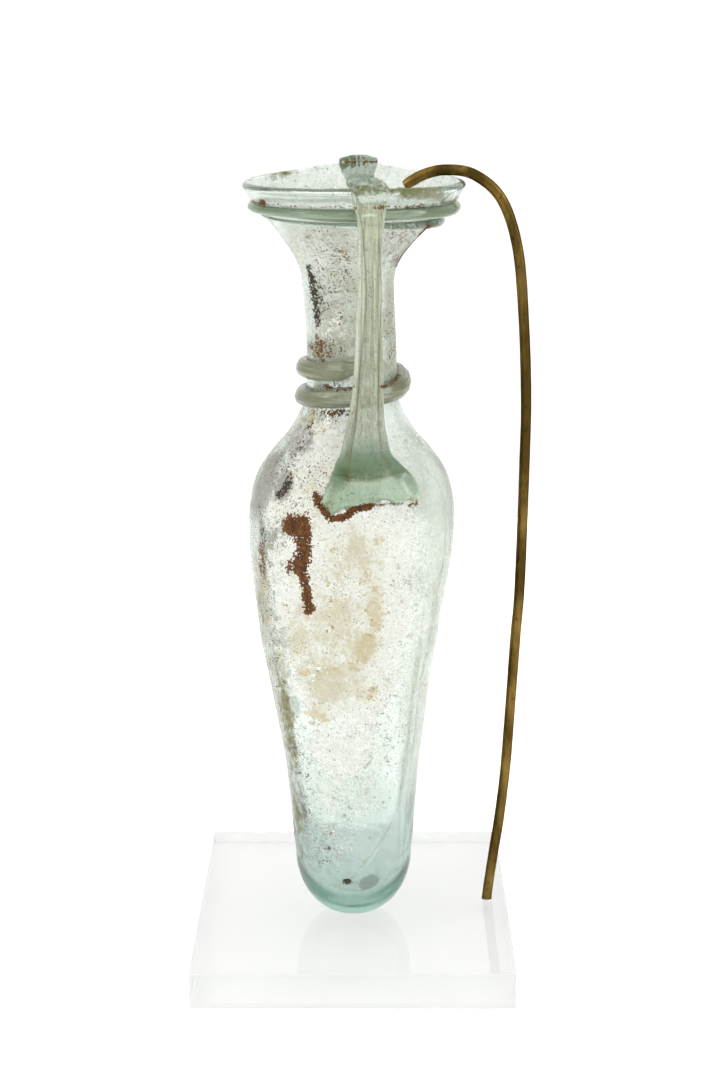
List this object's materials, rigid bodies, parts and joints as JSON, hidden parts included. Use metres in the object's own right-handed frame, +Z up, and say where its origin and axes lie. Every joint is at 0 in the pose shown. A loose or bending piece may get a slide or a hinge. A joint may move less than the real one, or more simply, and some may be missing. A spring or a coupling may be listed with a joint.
{
  "type": "glass perfume flask on a stand",
  "caption": "Slender indented glass flask with funnel mouth, wound trails and ribbed strap handle, held upright by a bent brass rod on a clear block.",
  "frame": {"origin": "centre of the block's underside", "axes": "+Z up along the flask, -Y towards the handle, +X towards the rod"},
  "size_m": [0.105, 0.1, 0.256],
  "materials": {
    "flask_glass": "pale sea-green glass, clear in places, with cream and silvery weathering and brown soil",
    "rod_brass": "aged brass, brown with golden highlights",
    "block_acrylic": "clear polished acrylic"
  },
  "bodies": {
    "root": {"flask": "flask_glass", "support_rod": "rod_brass", "base_block": "block_acrylic"}
  },
  "joints": []
}
